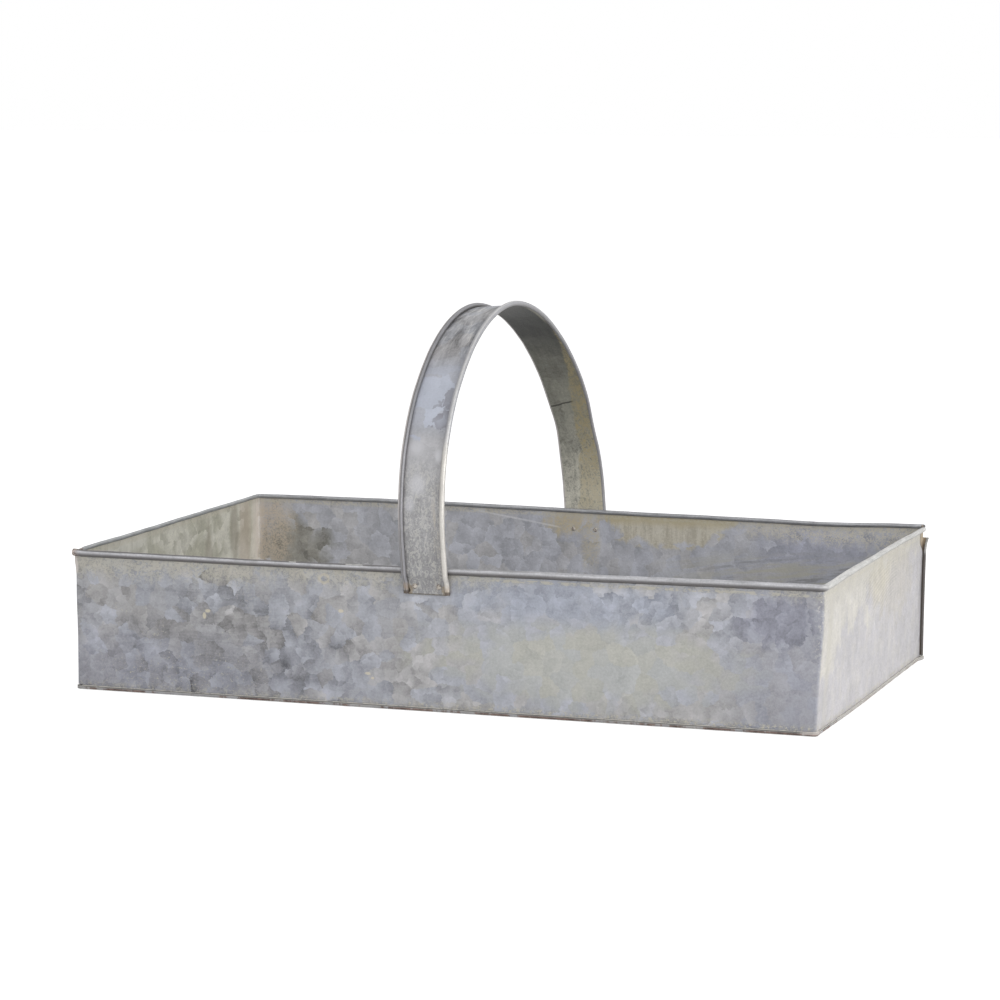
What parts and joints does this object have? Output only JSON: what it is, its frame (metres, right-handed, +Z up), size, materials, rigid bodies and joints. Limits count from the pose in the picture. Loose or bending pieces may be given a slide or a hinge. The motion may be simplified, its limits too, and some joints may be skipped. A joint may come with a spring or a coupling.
{
  "type": "sheet metal crate",
  "caption": "Low rectangular open crate of galvanised sheet with a rolled wired rim, folded corner seams and a hooped strap handle over the middle.",
  "frame": {"origin": "centre of the crate's footprint, on the surface that it stands on", "axes": "+X along the crate, +Y across it from the front wall to the back wall, +Z up"},
  "size_m": [0.6136, 0.382, 0.3052],
  "materials": {
    "zinc_floor": "weathered galvanised, dull",
    "zinc_wall": "weathered galvanised with spangle and pale bloom",
    "zinc_strap": "weathered galvanised with spangle and pale bloom",
    "steel_wire": "dull, lightly rusted",
    "rivet_metal": "dull, weathered"
  },
  "bodies": {
    "root": {"floor_pan": "zinc_floor", "wall_sheet_front_right": "zinc_wall", "wall_sheet_rear_left": "zinc_wall", "rim_wire_front_right": "steel_wire", "rim_wire_rear_left": "steel_wire", "handle_strap": "zinc_strap", "handle_wire_left": "steel_wire", "handle_wire_right": "steel_wire", "rivet_front_left": "rivet_metal", "rivet_front_right": "rivet_metal", "rivet_rear_left": "rivet_metal", "rivet_rear_right": "rivet_metal"}
  },
  "joints": []
}
